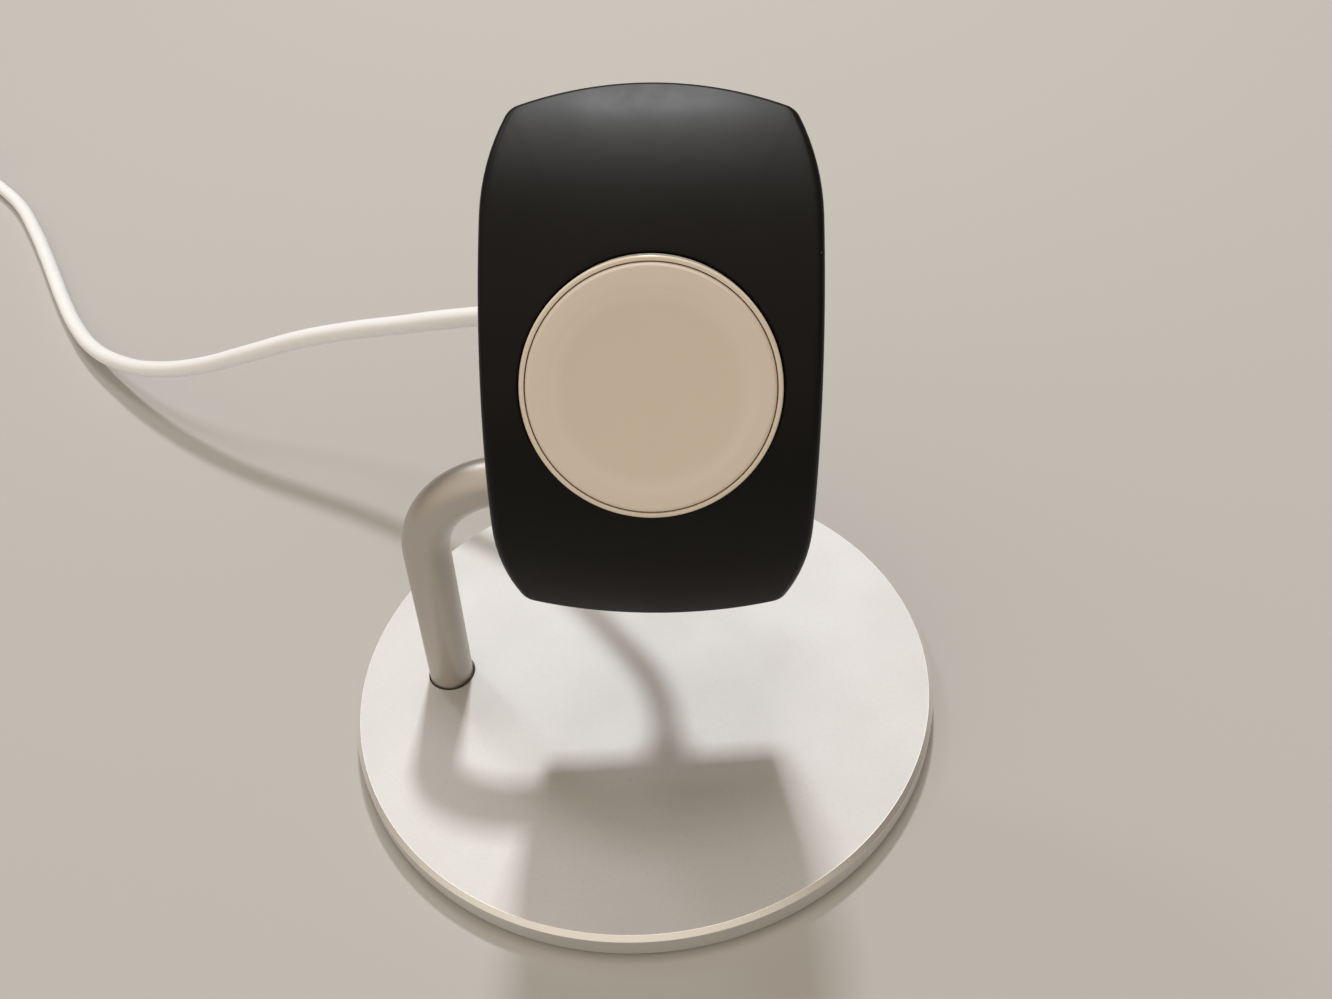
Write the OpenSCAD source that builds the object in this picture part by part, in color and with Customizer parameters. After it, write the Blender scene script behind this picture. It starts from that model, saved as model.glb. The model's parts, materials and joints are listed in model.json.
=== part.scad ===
// Charging stand for a smartwatch: a round base, a bent tube arm, a curved head that a closed
// band slips over, and a magnetic charging puck with its lead. Millimetres, +Z up, the head
// faces -Y. The origin is the middle of the underside, on the surface that the stand rests on.

/* [Base] */
// Diameter of the base plate
base_d = 84; // [78:1:96]
// Height of the plate's top above the table
base_h = 4; // [4:0.2:6]
// How far the foot pad stands out below the plate
pad_proud = 0.4; // [0.3:0.1:0.6]
// Machined chamfer round the top edge
edge_chamfer = 0.6; // [0.3:0.1:1]

/* [Arm] */
// Outside diameter of the tube
arm_d = 6.3; // [6:0.1:7]
// Wall of the tube
arm_wall = 1; // [0.8:0.1:1.2]
// Distance of the arm's foot from the middle of the base
foot_offset = 28.5; // [26:0.5:30]
// Straight length above the plate, up to the bend
arm_straight = 25.2; // [22:0.2:30]
// Radius of the bend, to the tube's centre line
bend_r = 12.6; // [12:0.2:13]
// Lean of the arm towards the head, in degrees
arm_lean = 3; // [0:0.5:4]

/* [Head] */
// Width of the head, along the arm
head_w = 36.5; // [34:0.1:38]
// Length of the head, from its lower end to its upper end
head_l = 62.4; // [58:0.2:64]
// Radius of the curved front, like a wrist
front_r = 41.5; // [40:0.5:44]
// Depth from the charger's face to the back cover
head_depth = 26; // [25:0.2:28]
// Radius of the crowned upper and lower ends
crown_r = 43; // [38:1:46]
// Radius of the outline's four corners
corner_r = 2.5; // [2.3:0.1:4]
// Radius of the sides where they draw in near the ends
shoulder_r = 26; // [22:1:34]
// Half of the sides' straight length
side_half = 17; // [14:0.5:18]
// Width of the back, where the body behind the curved front is narrower
back_w = 30; // [29:0.5:34]
// Radius of the slightly curved back
back_r = 110; // [100:5:200]
// Tilt of the face: how far it looks up, in degrees
face_tilt = 26; // [20:1:32]
// Wall of the front shell
shell_wall = 2.2; // [2:0.1:2.6]

/* [Charger] */
// Diameter of the charging puck
puck_d = 27.9; // [27.4:0.1:28.4]
// Depth of the puck
puck_h = 8.6; // [8:0.1:9]
// How far the puck's face stands out of the head
puck_proud = 0.8; // [0.4:0.1:1.2]
// Depth of the dish in the puck's face
dish_depth = 0.25; // [0.1:0.05:0.4]

/* [Lead] */
// Diameter of the lead
lead_d = 3.2; // [3:0.1:3.4]
// Mean diameter of the stored coil
coil_d = 38.4; // [35:0.1:40]

/* [Hidden] */
$fn = 96;
eps = 0.01;
gap = 0.1;

// Base: a recess holds the foot pad and a deeper pocket holds the ballast.
base_r = base_d / 2;
base_bottom = pad_proud;
recess_h = 0.6;
recess_top = base_bottom + recess_h;
pad_r = base_r - 3;
pocket_r = pad_r - 2;
pocket_h = 1.7;
ballast_h = 1.6;
boss_r = 8;

// Foot: the tube stands in a shallow socket and one countersunk screw pulls it down.
arm_r = arm_d / 2;
bore_r = arm_r - arm_wall;
socket_r = arm_r + 0.22;
socket_h = 1.4;
web_top = -socket_h;
screw_head_r = 2.75;
screw_head_h = 1.3;
screw_seat_z = web_top - screw_head_h + 0.2;
foot_screw_r = 1.48;
thread_r = 1.5;
insert_l = 13;

// Head frame: X along the arm, Y up the face, Z out of the face, origin on the puck's face.
head_x = foot_offset + 2;
head_y = -11.3;
head_z = 59.8;
seat_drop = 0.6;
front_z = -puck_proud;
back_z = -head_depth;
cover_h = 1.8;
cover_z = back_z + cover_h;
waist_z = -12.6;
back_y = -4;
seam = 0.03;
rebate_wall = 1.2;
arm_top = arm_straight + bend_r;
arm_y = -head_y * sin(face_tilt) + (arm_top - head_z) * cos(face_tilt);
arm_z = head_y * cos(face_tilt) + (arm_top - head_z) * sin(face_tilt);
arm_end = 9;

// Charger and its seat
puck_r = puck_d / 2;
seat_r = puck_r + 0.1;
seat_wall = 1.35;
seat_top = -4.8;
seat_floor_z = -puck_h - 0.4;
seat_floor_h = 1.4;
port_r = 3.2;
rim_w = 0.55;
cap_gap = 0.1;
cap_r = puck_r - rim_w - cap_gap;
dish_r = 10.9;
lead_r = lead_d / 2;
boot_end = -16;

// Bracket that joins the seat, the shell and the arm
bracket_top = seat_floor_z - seat_floor_h;
bracket_h = 2;
bracket_back = bracket_top - bracket_h;
bracket_w = 30.8;
bracket_screw_x = 12.2;
bracket_screw_y = 16.5;
block_w = 16;
block_low = -22;
block_high = -10;
block_back = -23.4;
clamp_x = 5;
cover_screw_x = 10.2;
cover_screw_y = 23.6;
boss_screw_r = 2.3;
pilot_r = 0.8;

// Grommet in the back cover: the lead leaves it squarely
grommet_end = back_z - 3.4;
grommet_hole_r = 3;
grommet_neck_r = 2.9;

// Stored coil: turns two wide and three high, held by a tie, with the plug beside it
coil_at = [-217, 183];
coil_low = 0.5;
coil_in = coil_d / 2 - lead_d;
coil_out = coil_d / 2 + lead_d;
coil_h = 3 * lead_d;
tie_wall = 0.5;
tie_w = 6;
tie_angle = 250;
plug_x = -238;
plug_y = 113;
plug_z = 4;

// Route of the lead's centre line, from the grommet to the coil, then from the coil to the plug
exit_at = place_head([0, 0, grommet_end]);
run_route = [
    exit_at, [3.9, 18.5, 47.5], [2, 23, 45.8], [-3, 29.5, 44.2], [-9, 36, 42.2], [-17, 42, 39.5],
    [-25, 46, 36.6], [-32, 49, 34.4], [-40, 52.5, 31.6], [-50, 56.5, 28.4], [-61, 60, 24.8],
    [-73, 63.5, 20], [-85, 68, 14.8], [-99, 75.5, 9.4], [-110, 83.5, 5.8], [-121, 93.5, 3.2],
    [-130, 104.5, 1.9], [-138.5, 117, 1.65], [-146, 129, 1.65], [-153.5, 141, 1.65],
    [-162, 154, 1.65], [-172, 168, 1.65], [-183, 180, 1.65], [-193.5, 190, 1.8],
    [-203, 198.5, 2.1]
];
tail_route = [
    [-238, 183, 5.3], [-238, 175, 5], [-238, 165, 4.1], [-238, 155, 3], [-238, 145, 2.4],
    [-238, 135, 3.1], [-238, 128, 3.8], [-238, 124.1, 4]
];

// Places a point of the arm's frame, and of the head's frame, in the stand's frame.
function place_arm(p) = [
    -foot_offset + p[0] * cos(arm_lean) + p[2] * sin(arm_lean),
    p[1],
    base_h - p[0] * sin(arm_lean) + p[2] * cos(arm_lean)
];
function place_head(p) = place_arm([
    head_x + p[0],
    head_y + p[1] * sin(face_tilt) - p[2] * cos(face_tilt),
    head_z + p[1] * cos(face_tilt) + p[2] * sin(face_tilt)
]);

module on_arm() {
    translate([-foot_offset, 0, base_h]) rotate([0, arm_lean, 0]) children();
}

module on_head() {
    on_arm() translate([head_x, head_y, head_z]) rotate([90 - face_tilt, 0, 0]) children();
}

module ring(outer, inner, from, to) {
    translate([0, 0, from]) difference() {
        cylinder(r = outer, h = to - from);
        translate([0, 0, -eps]) cylinder(r = inner, h = to - from + 2 * eps);
    }
}

module disc(radius, from, to) {
    translate([0, 0, from]) cylinder(r = radius, h = to - from);
}

// Countersunk screw with its head's top at z = 0, pointing up +Z
module countersunk(head_r, head_h, shank_r, length) {
    rotate_extrude() polygon([
        [0, 0], [head_r, 0], [head_r, 0.2], [shank_r, head_h], [shank_r, length - shank_r / 2],
        [shank_r / 2, length], [0, length]
    ]);
}

// Tube of flat sides swept along a list of points
function unit(v) = v / norm(v);
function heading(path, i) =
    unit(path[min(i + 1, len(path) - 1)] - path[max(i - 1, 0)]);
function sweep_ring(path, i, radius, sides) =
    let (t = heading(path, i), s = unit(cross(t, [0, 0, 1])), u = cross(s, t))
    [for (k = [0:sides - 1]) path[i] + radius * (cos(360 * k / sides) * s + sin(360 * k / sides) * u)];
function smooth_point(a, b, c, d, t) =
    0.5 * (2 * b + (c - a) * t + (2 * a - 5 * b + 4 * c - d) * t * t
        + (3 * b - a - 3 * c + d) * t * t * t);
function smoothed(path) = let (last = len(path) - 1) [
    for (i = [0:last - 1], t = [0, 0.5])
        smooth_point(path[max(i - 1, 0)], path[i], path[i + 1], path[min(i + 2, last)], t),
    path[last]
];

module swept(path, radius, sides = 8) {
    last = len(path) - 1;
    points = [for (i = [0:last]) each sweep_ring(path, i, radius, sides)];
    walls = [
        for (i = [0:last - 1], k = [0:sides - 1])
            let (a = i * sides + k, b = i * sides + (k + 1) % sides) [a, b, b + sides, a + sides]
    ];
    first_cap = [for (k = [sides - 1:-1:0]) k];
    last_cap = [for (k = [0:sides - 1]) last * sides + k];
    polyhedron(points, concat([first_cap], walls, [last_cap]));
}

// Outline of the head seen square to its face: straight sides that draw in near the ends,
// tight corners and crowned ends
function arc(centre, radius, from, to, steps) =
    [for (i = [0:steps]) let (a = from + (to - from) * i / steps)
        centre + radius * [cos(a), sin(a)]];
function corner_centre() =
    let (side = [head_w / 2 - shoulder_r, side_half], crown = [0, head_l / 2 - crown_r])
    let (ra = shoulder_r - corner_r, rc = crown_r - corner_r, d = norm(crown - side))
    let (k = (ra * ra - rc * rc + d * d) / (2 * d), h = sqrt(ra * ra - k * k))
    let (u = (crown - side) / d)
    side + k * u + h * [-u[1], u[0]];
function quarter_outline(inset) =
    let (side = [head_w / 2 - shoulder_r, side_half], crown = [0, head_l / 2 - crown_r])
    let (corner = corner_centre())
    let (from = atan2(corner[1] - side[1], corner[0] - side[0]))
    let (to = atan2(corner[1] - crown[1], corner[0]))
    concat(arc(side, shoulder_r - inset, 0, from, 5), arc(corner, corner_r - inset, from, to, 5),
        arc(crown, crown_r - inset, to, 90, 6));
function flip(points, sx, sy) = [for (p = points) [p[0] * sx, p[1] * sy]];
function reversed(points) = [for (i = [len(points) - 1:-1:0]) points[i]];
function without_ends(points) = [for (i = [1:len(points) - 2]) points[i]];

module head_outline(inset = 0) {
    q = quarter_outline(inset);
    polygon(concat(
        q, without_ends(reversed(flip(q, -1, 1))), [[-q[0][0], q[0][1]]],
        [[-q[0][0], -q[0][1]]], without_ends(flip(q, -1, -1)),
        reversed(flip(q, 1, -1))
    ));
}

// Height of the slightly curved back
function back_at(y, inset = 0) =
    back_z + back_r - sqrt((back_r - inset) * (back_r - inset) - (y - back_y) * (y - back_y));

// Long body of the head's outline. Behind the waist two slanting sides make it narrower.
module head_body(inset) {
    low = back_z - 1;
    wide = head_w / 2 - inset;
    narrow = wide - (head_w - back_w) / 2 * (waist_z - low) / (waist_z - back_z);
    intersection() {
        translate([0, seat_drop, low]) linear_extrude(-low) head_outline(inset);
        rotate([90, 0, 0]) linear_extrude(head_l + 10, center = true) polygon([
            [narrow, low], [wide, waist_z], [wide, 1], [-wide, 1], [-wide, waist_z],
            [-narrow, low]
        ]);
    }
}

module across_head(radius, y, z) {
    translate([0, y, z]) rotate([0, 90, 0])
        cylinder(r = radius, h = head_w + 2, center = true, $fn = 180);
}

// Solid of the head's shape, moved in by inset all round and open through the back
module head_form(inset) {
    intersection() {
        head_body(inset);
        across_head(front_r - inset, 0, front_z - front_r);
    }
}

// Everything in front of the back, moved in by inset
module before_back(inset) {
    across_head(back_r - inset, back_y, back_z + back_r);
}

module at_screws(x, y, middle = 0) {
    for (sx = [-1, 1], sy = [-1, 1]) translate([sx * x, middle + sy * y, 0]) children();
}

module base_plate() {
    color("#dcdad6") difference() {
        rotate_extrude($fn = 180) polygon([
            [0, base_bottom], [base_r - 0.3, base_bottom], [base_r, base_bottom + 0.3],
            [base_r, base_h - edge_chamfer], [base_r - edge_chamfer, base_h], [0, base_h]
        ]);
        disc(pad_r + gap, base_bottom - eps, recess_top);
        difference() {
            disc(pocket_r, recess_top - eps, recess_top + pocket_h);
            translate([-foot_offset, 0, 0]) disc(boss_r, 0, base_h);
        }
        on_arm() disc(socket_r, web_top, 3);
        on_arm() disc(thread_r + 0.2, -base_h, 0);
        on_arm() translate([0, 0, screw_seat_z])
            cylinder(r1 = screw_head_r + 0.15, r2 = thread_r + 0.2, h = web_top - screw_seat_z + eps);
        on_arm() disc(screw_head_r + 0.15, -base_h, screw_seat_z + eps);
    }
}

module ballast_plate() {
    color("#8d9094") difference() {
        disc(pocket_r - gap, recess_top, recess_top + ballast_h);
        translate([-foot_offset, 0, 0]) disc(boss_r + gap, 0, base_h);
    }
}

module foot_pad() {
    color("#2a2a2b") disc(pad_r, 0, recess_top - eps);
}

module foot_screw() {
    color("#a8abae") on_arm() translate([0, 0, web_top - 0.1 - screw_head_h])
        countersunk(screw_head_r, screw_head_h, foot_screw_r, 12);
}

module foot_bush() {
    color("#1c1c1d") on_arm() ring(socket_r - 0.02, arm_r + 0.02, web_top, -0.4);
}

module foot_insert() {
    color("#c2a15a") on_arm() ring(bore_r - 0.02, thread_r, web_top, web_top + insert_l);
}

// Post, bend and horizontal run of the arm's tube, as a solid bar of the given radius
module arm_bar(radius, from, to) {
    disc(radius, from, arm_straight);
    translate([bend_r, 0, arm_straight]) rotate([90, 0, 0]) rotate_extrude(angle = -90)
        translate([-bend_r, 0]) circle(r = radius);
    translate([bend_r, 0, arm_top]) rotate([0, 90, 0]) cylinder(r = radius, h = to - bend_r);
}

module arm_tube() {
    color("#b9b6b0") on_arm() difference() {
        arm_bar(arm_r, web_top, head_x + arm_end);
        arm_bar(bore_r, web_top - 1, head_x + arm_end + 1);
    }
}

module tip_plug() {
    color("#9a9da1") on_head() translate([-9, arm_y, arm_z]) rotate([0, 90, 0])
        cylinder(r = bore_r - 0.02, h = 17.8);
}

module arm_collar() {
    color("#1c1c1d") on_head() translate([-15.4, arm_y, arm_z]) rotate([0, 90, 0])
        ring(arm_r + 0.6, arm_r + 0.05, 0, 2.6);
}

module head_shell() {
    color("#232323") on_head() difference() {
        union() {
            difference() {
                intersection() {
                    head_form(0);
                    before_back(0);
                }
                head_form(shell_wall);
            }
            intersection() {
                head_form(shell_wall - eps);
                before_back(cover_h + seam);
                at_screws(cover_screw_x, cover_screw_y, seat_drop) disc(boss_screw_r, cover_z, 0);
            }
            intersection() {
                head_form(shell_wall - eps);
                union() {
                    at_screws(bracket_screw_x, bracket_screw_y) disc(boss_screw_r, bracket_top, 0);
                    disc(seat_r + seat_wall + 2 * gap, seat_top + gap / 2, 0);
                }
            }
        }
        difference() {
            head_body(rebate_wall);
            before_back(cover_h + seam);
        }
        disc(puck_r + 0.2, -20, 1);
        disc(seat_r + seat_wall + gap, -20, seat_top + gap);
        at_screws(cover_screw_x, cover_screw_y, seat_drop) disc(pilot_r, cover_z - 1, cover_z + 10);
        at_screws(bracket_screw_x, bracket_screw_y) disc(pilot_r, bracket_top - 1, -8.2);
        translate([-head_w / 2 - 1, arm_y, arm_z]) rotate([0, 90, 0])
            cylinder(r = arm_r + 0.65, h = 7);
    }
}

module back_cover() {
    color("#262626") on_head() difference() {
        intersection() {
            head_body(rebate_wall + gap);
            before_back(0);
        }
        before_back(cover_h);
        disc(grommet_hole_r, back_z - 1, cover_z + 2);
        at_cover_screws() {
            disc(1.2, -3, 4);
            disc(2.3, -3, 0);
            translate([0, 0, -eps]) cylinder(r1 = 2.3, r2 = 1.2, h = 1.2);
        }
    }
}

// Places a child at each screw of the cover, with z = 0 at the underside of its head
module at_cover_screws() {
    for (sx = [-1, 1], sy = [-1, 1]) {
        y = seat_drop + sy * cover_screw_y;
        translate([sx * cover_screw_x, y, back_at(y) + 0.5]) children();
    }
}

module cover_screws() {
    color("#4a4a4c") on_head() at_cover_screws()
        translate([0, 0, 0.05]) countersunk(1.9, 0.8, pilot_r - 0.02, 7);
}

module head_bracket() {
    color("#aeb1b4") on_head() difference() {
        union() {
            translate([-bracket_w / 2, -19, bracket_back]) cube([bracket_w, 39, bracket_h]);
            intersection() {
                translate([-block_w / 2, block_low, block_back])
                    cube([block_w, block_high - block_low, bracket_back - block_back + eps]);
                before_back(cover_h + 0.2);
            }
            translate([-block_w / 2, block_low, bracket_back])
                cube([block_w, 4, bracket_h]);
        }
        disc(port_r, bracket_back - 1, bracket_top + 1);
        at_screws(bracket_screw_x, bracket_screw_y) disc(1.1, bracket_back - 1, bracket_top + 1);
        translate([-block_w / 2 - 1, arm_y, arm_z]) rotate([0, 90, 0])
            cylinder(r = arm_r + 0.02, h = block_w + 2);
        for (x = [-clamp_x, clamp_x]) translate([x, block_low - 1, arm_z]) rotate([-90, 0, 0])
            cylinder(r = thread_r, h = arm_y - block_low);
    }
}

module bracket_screws() {
    color("#a8abae") on_head() at_screws(bracket_screw_x, bracket_screw_y) {
        disc(1.8, bracket_back - 1.3, bracket_back);
        disc(pilot_r - 0.02, bracket_back - eps, bracket_top + 1.8);
    }
}

module clamp_screws() {
    color("#5a5a5c") on_head() for (x = [-clamp_x, clamp_x])
        translate([x, block_low + 0.3, arm_z]) rotate([-90, 0, 0])
            cylinder(r = thread_r - 0.02, h = arm_y - arm_r - block_low - 0.35);
}

module charger_seat() {
    color("#303032") on_head() difference() {
        disc(seat_r + seat_wall, bracket_top, seat_top);
        disc(seat_r, seat_floor_z, seat_top + 1);
        disc(port_r, bracket_top - 1, seat_top);
        disc(seat_r + 0.75, -7.2, -6);
    }
}

module grip_ring() {
    color("#4b4b4d") on_head() rotate_extrude() translate([seat_r + 0.34, -6.6])
        circle(r = 0.36, $fn = 24);
}

module cable_grommet() {
    color("#1c1c1d") on_head() rotate_extrude() polygon([
        [lead_r + 0.06, cover_z + 1.2], [4, cover_z + 1.2], [4, cover_z + 0.4],
        [grommet_neck_r, cover_z + 0.4], [grommet_neck_r, back_z], [4.2, back_z],
        [4.2, back_z - 0.7], [3.3, back_z - 1], [2.4, grommet_end], [lead_r + 0.06, grommet_end]
    ]);
}

module charger_case() {
    color("#e6e2dc") on_head() difference() {
        rotate_extrude($fn = 144) polygon([
            [0, -puck_h], [puck_r - 1.6, -puck_h], [puck_r - 0.9, -puck_h + 0.2],
            [puck_r - 0.2, -puck_h + 0.9], [puck_r, -puck_h + 1.6], [puck_r, -0.45],
            [puck_r - 0.25, -0.2], [puck_r - rim_w, -0.2], [0, -0.2]
        ]);
        disc(puck_r - rim_w, -1.9, 1);
        disc(puck_r - 1.1, -7.4, 0);
        disc(lead_r + 0.05, -puck_h - 1, -7);
    }
}

module charger_cap() {
    color("#efe9e1") on_head() rotate_extrude($fn = 144) difference() {
        union() {
            translate([0, -1.7]) square([cap_r, 1.2]);
            translate([0, -1.7]) square([cap_r - 0.5, 1.7]);
            translate([cap_r - 0.5, -0.5]) circle(r = 0.5, $fn = 48);
        }
        translate([-20, -3]) square([20, 6]);
        translate([0, (dish_r * dish_r - dish_depth * dish_depth) / (2 * dish_depth)])
            circle(r = (dish_r * dish_r + dish_depth * dish_depth) / (2 * dish_depth), $fn = 720);
    }
}

module charger_magnet() {
    color("#c9ccd0") on_head() disc(4.2, -4.7, -1.9);
}

module charger_coil() {
    color("#b87333") on_head() ring(11.6, 4.7, -3.5, -2);
}

module charger_shield() {
    color("#3a3a3c") on_head() ring(12.4, 4.4, -4.4, -3.6);
}

module charger_board() {
    color("#2f6b45") on_head() difference() {
        union() {
            disc(12.3, -6.1, -5.1);
            translate([-7, 2.5, -7.1]) cube([6, 6, 1.1]);
            translate([2.5, -7, -6.9]) cube([4, 3, 0.9]);
        }
        disc(lead_r + 0.1, -8, -4);
    }
}

module charger_boot() {
    color("#e9e6e1") on_head() difference() {
        rotate_extrude() polygon([
            [0, -puck_h], [2.6, -puck_h], [2.6, -puck_h - 1.2], [2.1, boot_end], [0, boot_end]
        ]);
        disc(lead_r + 0.04, boot_end - 1, -puck_h + 1);
    }
}

module charger_lead() {
    color("#f1efec") on_head() disc(lead_r, grommet_end + 0.3, -5.6);
}

module cord_run() {
    color("#f1efec") swept(smoothed(run_route), lead_r);
}

module cord_coil() {
    color("#f1efec") translate([coil_at[0], coil_at[1], coil_low]) rotate_extrude()
        translate([coil_in, 0]) square([coil_out - coil_in, coil_h]);
}

module coil_tie() {
    loop_w = coil_out - coil_in + 2 * tie_wall + 0.1;
    color("#2a2a2b") translate([coil_at[0], coil_at[1], 0]) rotate([0, 0, tie_angle])
        translate([coil_d / 2, 0, 0]) difference() {
            translate([-loop_w / 2 - 0.6, -tie_w / 2, 0])
                cube([loop_w + 1.2, tie_w, coil_h + 2 * tie_wall + 0.05]);
            translate([-loop_w / 2 - 0.6 + tie_wall, -tie_w, coil_low - eps])
                cube([loop_w + 1.2 - 2 * tie_wall, 2 * tie_w, coil_h + 0.03]);
        }
}

module cord_tail() {
    color("#f1efec") swept(smoothed(tail_route), lead_r);
}

module plug_boot() {
    color("#f1efec") translate([plug_x, plug_y, plug_z]) rotate([-90, 0, 0]) difference() {
        cylinder(r1 = 2.9, r2 = 2.1, h = 11);
        translate([0, 0, 9]) cylinder(r = lead_r - 0.2, h = 3);
    }
}

module plug_body() {
    color("#f1efec") translate([plug_x, plug_y, plug_z]) rotate([90, 0, 0])
        linear_extrude(24) union() {
            square([13.5, 8 - 0.1], center = true);
            square([15.5, 5.9], center = true);
            for (sx = [-1, 1], sy = [-1, 1]) translate([sx * 6.75, sy * 2.95]) circle(r = 1, $fn = 32);
        }
}

module plug_shell() {
    color("#c6c9cc") translate([plug_x - 6, plug_y - 38, plug_z - 2.25]) difference() {
        cube([12, 14, 4.5]);
        translate([0.35, -1, 0.35]) cube([11.3, 14.7, 3.8]);
        for (x = [2.2, 7.3]) translate([x, 5, 3]) cube([2.5, 2.2, 3]);
    }
}

module plug_tongue() {
    color("#e8e6e2") translate([plug_x - 5.55, plug_y - 37.3, plug_z - 1.85])
        cube([11.1, 12.95, 1.8]);
}

module plug_contacts() {
    color("#c9a24c") for (x = [-3.5, -1, 1, 3.5])
        translate([plug_x + x - 0.5, plug_y - 36.6, plug_z - 0.05]) cube([1, 8.5, 0.15]);
}

base_plate();
ballast_plate();
foot_pad();
foot_screw();
foot_bush();
foot_insert();
arm_tube();
tip_plug();
arm_collar();
head_shell();
back_cover();
cover_screws();
head_bracket();
bracket_screws();
clamp_screws();
charger_seat();
grip_ring();
cable_grommet();
charger_case();
charger_cap();
charger_magnet();
charger_coil();
charger_shield();
charger_board();
charger_boot();
charger_lead();
cord_run();
cord_coil();
coil_tie();
cord_tail();
plug_boot();
plug_body();
plug_shell();
plug_tongue();
plug_contacts();
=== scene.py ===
import json
from math import atan2, cos, pi, radians, sin, sqrt

import bmesh
import bpy
from mathutils import Matrix, Vector


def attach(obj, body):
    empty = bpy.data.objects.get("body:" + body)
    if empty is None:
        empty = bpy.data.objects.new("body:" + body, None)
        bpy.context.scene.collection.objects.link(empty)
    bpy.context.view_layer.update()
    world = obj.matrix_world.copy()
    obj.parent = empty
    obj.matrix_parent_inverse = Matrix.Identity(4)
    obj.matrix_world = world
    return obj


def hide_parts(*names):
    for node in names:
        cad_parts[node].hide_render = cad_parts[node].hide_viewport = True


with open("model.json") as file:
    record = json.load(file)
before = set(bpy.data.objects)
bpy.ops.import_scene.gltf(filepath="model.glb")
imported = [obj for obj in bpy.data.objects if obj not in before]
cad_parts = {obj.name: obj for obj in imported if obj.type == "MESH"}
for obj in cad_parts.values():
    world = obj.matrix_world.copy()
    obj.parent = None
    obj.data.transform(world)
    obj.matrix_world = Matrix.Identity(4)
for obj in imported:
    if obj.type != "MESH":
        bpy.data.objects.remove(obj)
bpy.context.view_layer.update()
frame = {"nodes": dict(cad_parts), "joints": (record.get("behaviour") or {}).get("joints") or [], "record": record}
nodes = frame["nodes"]

# ---------------------------------------------------------------- measures, in millimetres
MM = 0.001
BASE_R = 42.0
BASE_H = 4.0
PAD_PROUD = 0.4
RECESS_H = 0.6
PAD_R = BASE_R - 3
CHAMFER = 0.6
FOOT = (-28.5, 0.0, BASE_H)
LEAN = radians(3)

ARM_R = 3.15
ARM_WALL = 1.0
ARM_STRAIGHT = 25.2
BEND_R = 12.6
SOCKET_R = ARM_R + 0.22
SOCKET_H = 1.4

HEAD_W = 36.5
HEAD_L = 62.4
FRONT_R = 41.5
FRONT_Z = -0.8
BACK_Z = -26.0
CROWN_R = 43.0
CORNER_R = 2.5
SHOULDER_R = 26.0
SIDE_HALF = 17.0
WAIST_Z = -12.6
BACK_W = 30.0
BACK_R = 110.0
BACK_Y = -4.0
SEAT_DROP = 0.6
SHELL_WALL = 2.2
REBATE = 1.2
COVER_H = 1.8
FRONT_AXIS_Z = FRONT_Z - FRONT_R
COVER_SCREW_X = 10.2
COVER_SCREW_Y = 23.6

PUCK_R = 13.95
PUCK_H = 8.6
RIM_W = 0.55
CAP_GAP = 0.1
DISH_R = 10.9
DISH_DEPTH = 0.25
SEAT_R = PUCK_R + 0.1
SEAT_WALL = 1.35
SEAT_TOP = -4.8

LEAD_R = 1.6
COIL_AT = (-217.0, 183.0)
COIL_OUTER = 20.8
COIL_INNER = 17.6
PLUG = (-238.0, 113.0, 4.0)


# ---------------------------------------------------------------- frames of the arm and the head
release = next(j for j in frame["joints"] if j["name"] == "charger_release")
face = Vector(release["pos_m"])
out = Vector(release["axis"]).normalized()
along = Vector((0, 1, 0)).cross(out).normalized()
HEAD = Matrix.Translation(face) @ Matrix((along, out.cross(along), out)).transposed().to_4x4()
ARM = Matrix.Translation(Vector(FOOT) * MM) @ Matrix.Rotation(LEAN, 4, "Y")
STAND = Matrix.Identity(4)
arm_axis = HEAD.inverted() @ ARM @ (Vector((0, 0, ARM_STRAIGHT + BEND_R)) * MM) / MM


# ---------------------------------------------------------------- mesh helpers
def placed(mesh, place):
    """Moves a mesh in millimetres to its place in the row frame, in metres."""
    mesh.transform(place @ Matrix.Scale(MM, 4))
    return mesh


def finished(mesh, node, place, body, slot):
    """Makes the finished piece of a CAD node from a mesh in millimetres, and puts it on its body."""
    placed(mesh, place)
    mesh.validate()
    piece = bpy.data.objects.new(f"{node}_finished", mesh)
    bpy.context.scene.collection.objects.link(piece)
    mesh.polygons.foreach_set("use_smooth", [True] * len(mesh.polygons))
    mesh.materials.append(MATERIALS[slot])
    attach(piece, body)
    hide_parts(node)
    return piece


def outward(piece):
    """Turns every face of a closed piece to face out."""
    bm = bmesh.new()
    bm.from_mesh(piece.data)
    bmesh.ops.recalc_face_normals(bm, faces=bm.faces)
    bm.to_mesh(piece.data)
    bm.free()
    return piece


def weighted(piece, sharp=50):
    """Keeps flat faces flat beside small rounds: big faces set the normals."""
    bpy.context.view_layer.objects.active = piece
    mesh = piece.data
    bm = bmesh.new()
    bm.from_mesh(mesh)
    for edge in bm.edges:
        if len(edge.link_faces) == 2 and edge.calc_face_angle(0) > radians(sharp):
            edge.smooth = False
    bm.to_mesh(mesh)
    bm.free()
    modifier = piece.modifiers.new("flat_faces", "WEIGHTED_NORMAL")
    modifier.mode = "FACE_AREA"
    modifier.weight = 60
    modifier.keep_sharp = True
    return piece


def mesh_of(name, points, faces):
    """Makes a mesh from points and from faces that are tuples of point numbers."""
    mesh = bpy.data.meshes.new(name)
    mesh.from_pydata(points, [], faces)
    mesh.update()
    return mesh


def ring_faces(rings, count, closed_rings):
    """Quads between rings of count points. closed_rings joins the last ring to the first."""
    faces = []
    for i in range(rings if closed_rings else rings - 1):
        a, b = i * count, ((i + 1) % rings) * count
        faces += [(a + k, a + (k + 1) % count, b + (k + 1) % count, b + k) for k in range(count)]
    return faces


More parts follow.
